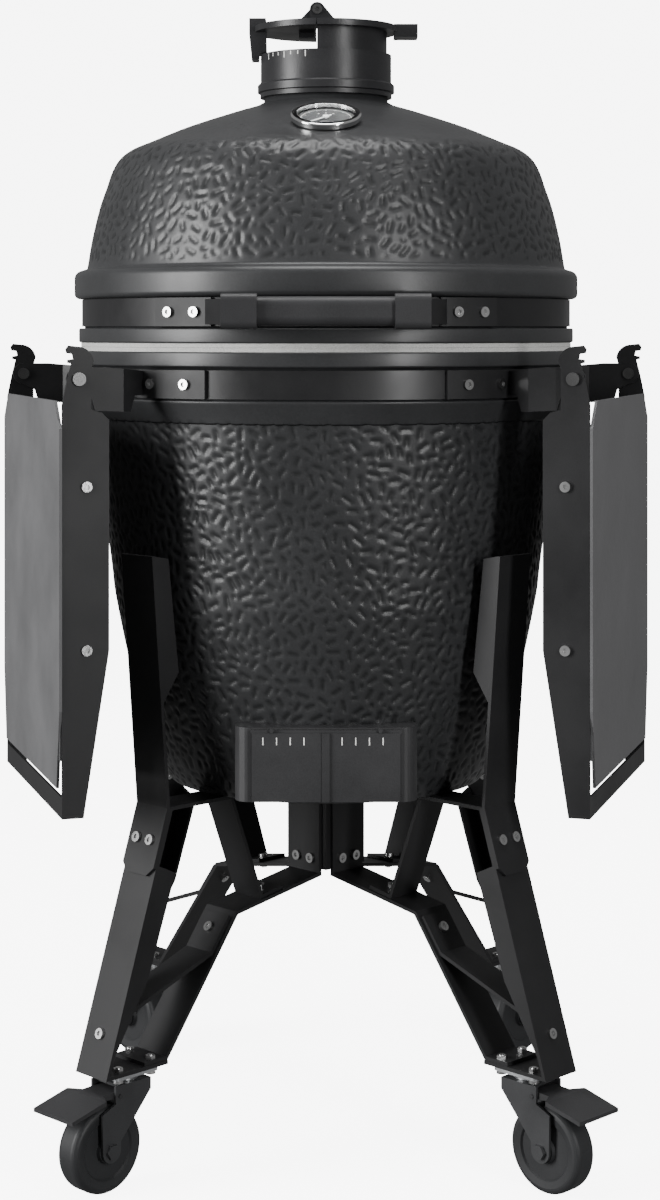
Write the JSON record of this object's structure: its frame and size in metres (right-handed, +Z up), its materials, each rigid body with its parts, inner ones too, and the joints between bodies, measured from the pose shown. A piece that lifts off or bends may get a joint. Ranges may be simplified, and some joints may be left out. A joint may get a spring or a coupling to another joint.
{
  "type": "kamado ceramic grill",
  "caption": "Egg-shaped ceramic charcoal grill with a hinged lid, top vent, dial thermometer, sliding ash doors and folding side shelves, on a wheeled steel stand.",
  "frame": {"origin": "on the floor, on the vertical axis of the bowl", "axes": "+Z up, -Y to the front with the handle and the ash doors, +X to the right seen from the front"},
  "size_m": [0.7564, 0.69, 1.2745],
  "materials": {
    "glaze": "satin, pebbled",
    "felt": "felt",
    "band_steel": "satin",
    "bracket_steel": "matte",
    "bolt_steel": "bright",
    "pin_steel": "satin",
    "fire_clay": "matte",
    "cast_iron": "rough",
    "grate_steel": "satin",
    "door_steel": "satin",
    "handle_black": "matte",
    "vent_black": "satin",
    "gauge_black": "gloss",
    "chrome": "polished",
    "dial_face": "matte",
    "needle_white": "matte",
    "gauge_glass": "clear",
    "shelf_frame": "fine texture",
    "shelf_grey": "fine texture",
    "stand_steel": "fine texture",
    "zinc": "plated",
    "fork_grey": "satin",
    "wheel_grey": "satin",
    "pedal_black": "satin"
  },
  "bodies": {
    "bowl_and_stand": {"base_shell": "glaze", "base_gasket": "felt", "base_band": "band_steel", "base_hinge_bracket": "bracket_steel", "shelf_brackets": "bracket_steel", "base_bolts": "bolt_steel", "stand_bolts": "bolt_steel", "hinge_pin": "pin_steel", "hinge_springs": "pin_steel", "shelf_pins": "pin_steel", "firebox": "fire_clay", "fire_ring": "fire_clay", "charcoal_grate": "cast_iron", "cooking_grate": "grate_steel", "ash_door_frame": "door_steel", "stand_upper_arms": "stand_steel", "stand_lower_legs": "stand_steel", "stand_struts": "stand_steel", "stand_braces": "stand_steel", "stand_supports": "stand_steel", "stand_hub": "stand_steel", "caster_mounts": "zinc"},
    "lid": {"lid_shell": "glaze", "lid_gasket": "felt", "lid_band": "band_steel", "lid_hinge_bracket": "bracket_steel", "lid_bolts": "bolt_steel", "handle_brackets": "bracket_steel", "handle_ends": "handle_black", "handle_grip": "handle_black", "vent_base": "vent_black", "thermometer_case": "gauge_black", "thermometer_probe": "grate_steel", "thermometer_bezel": "chrome", "thermometer_dial": "dial_face", "thermometer_glass": "gauge_glass"},
    "vent_hood": {"vent_hood": "vent_black", "vent_bolts": "pin_steel"},
    "vent_flap": {"vent_flap": "vent_black"},
    "thermometer_needle": {"thermometer_needle": "needle_white"},
    "ash_door_left": {"ash_door_left": "door_steel"},
    "ash_door_right": {"ash_door_right": "door_steel"},
    "shelf_left": {"shelf_arms_left": "shelf_frame", "shelf_panel_left": "shelf_grey", "shelf_screws_left": "bolt_steel"},
    "shelf_right": {"shelf_arms_right": "shelf_frame", "shelf_panel_right": "shelf_grey", "shelf_screws_right": "bolt_steel"},
    "fork_front_left": {"caster_fork_front_left": "fork_grey"},
    "wheel_front_left": {"caster_wheel_front_left": "wheel_grey"},
    "fork_front_right": {"caster_fork_front_right": "fork_grey"},
    "wheel_front_right": {"caster_wheel_front_right": "wheel_grey"},
    "fork_rear_left": {"caster_fork_rear_left": "fork_grey"},
    "wheel_rear_left": {"caster_wheel_rear_left": "wheel_grey"},
    "fork_rear_right": {"caster_fork_rear_right": "fork_grey"},
    "wheel_rear_right": {"caster_wheel_rear_right": "wheel_grey"},
    "pedal_left": {"brake_pedal_left": "pedal_black"},
    "pedal_right": {"brake_pedal_right": "pedal_black"}
  },
  "joints": [
    {"name": "lid_hinge", "type": "hinge", "parent": "bowl_and_stand", "child": "lid", "pos_m": [0, 0.332, 0.8824], "axis": [-1, 0, 0], "range_deg": [0, 70]},
    {"name": "vent_turn", "type": "hinge", "parent": "lid", "child": "vent_hood", "pos_m": [0, 0, 1.2], "axis": [0, 0, 1], "range_deg": [-90, 90]},
    {"name": "vent_flap_hinge", "type": "hinge", "parent": "vent_hood", "child": "vent_flap", "pos_m": [-0.01, 0, 1.266], "axis": [0, 1, 0], "range_deg": [0, 100]},
    {"name": "needle_turn", "type": "hinge", "parent": "lid", "child": "thermometer_needle", "pos_m": [0, -0.176, 1.1344], "axis": [0, 0.4067, -0.9135], "range_deg": [0, 270]},
    {"name": "ash_door_left_slide", "type": "slide", "parent": "bowl_and_stand", "child": "ash_door_left", "axis": [-1, 0, 0], "range_m": [0, 0.038]},
    {"name": "ash_door_right_slide", "type": "slide", "parent": "bowl_and_stand", "child": "ash_door_right", "axis": [1, 0, 0], "range_m": [0, 0.038]},
    {"name": "shelf_right_hinge", "type": "hinge", "parent": "bowl_and_stand", "child": "shelf_right", "pos_m": [0.3071, -0.09683, 0.85], "axis": [-0.3007, -0.9537, 0], "range_deg": [0, 90]},
    {"name": "shelf_left_hinge", "type": "hinge", "parent": "bowl_and_stand", "child": "shelf_left", "pos_m": [-0.3071, -0.09683, 0.85], "axis": [-0.3007, 0.9537, 0], "range_deg": [0, 90]},
    {"name": "swivel_front_left", "type": "hinge", "parent": "bowl_and_stand", "child": "fork_front_left", "pos_m": [-0.21355, -0.21355, 0.11], "axis": [0, 0, 1], "continuous": true},
    {"name": "roll_front_left", "type": "hinge", "parent": "fork_front_left", "child": "wheel_front_left", "pos_m": [-0.23688, -0.23688, 0.046], "axis": [0.7071, -0.7071, 0], "continuous": true},
    {"name": "pedal_left_tip", "type": "hinge", "parent": "fork_front_left", "child": "pedal_left", "pos_m": [-0.2291, -0.2291, 0.101], "axis": [0.7071, -0.7071, 0], "range_deg": [0, 10]},
    {"name": "swivel_front_right", "type": "hinge", "parent": "bowl_and_stand", "child": "fork_front_right", "pos_m": [0.21355, -0.21355, 0.11], "axis": [0, 0, 1], "continuous": true},
    {"name": "roll_front_right", "type": "hinge", "parent": "fork_front_right", "child": "wheel_front_right", "pos_m": [0.23688, -0.23688, 0.046], "axis": [0.7071, 0.7071, 0], "continuous": true},
    {"name": "pedal_right_tip", "type": "hinge", "parent": "fork_front_right", "child": "pedal_right", "pos_m": [0.2291, -0.2291, 0.101], "axis": [0.7071, 0.7071, 0], "range_deg": [0, 10]},
    {"name": "swivel_rear_left", "type": "hinge", "parent": "bowl_and_stand", "child": "fork_rear_left", "pos_m": [-0.21355, 0.21355, 0.11], "axis": [0, 0, 1], "continuous": true},
    {"name": "roll_rear_left", "type": "hinge", "parent": "fork_rear_left", "child": "wheel_rear_left", "pos_m": [-0.23688, 0.23688, 0.046], "axis": [-0.7071, -0.7071, 0], "continuous": true},
    {"name": "swivel_rear_right", "type": "hinge", "parent": "bowl_and_stand", "child": "fork_rear_right", "pos_m": [0.21355, 0.21355, 0.11], "axis": [0, 0, 1], "continuous": true},
    {"name": "roll_rear_right", "type": "hinge", "parent": "fork_rear_right", "child": "wheel_rear_right", "pos_m": [0.23688, 0.23688, 0.046], "axis": [-0.7071, 0.7071, 0], "continuous": true}
  ]
}
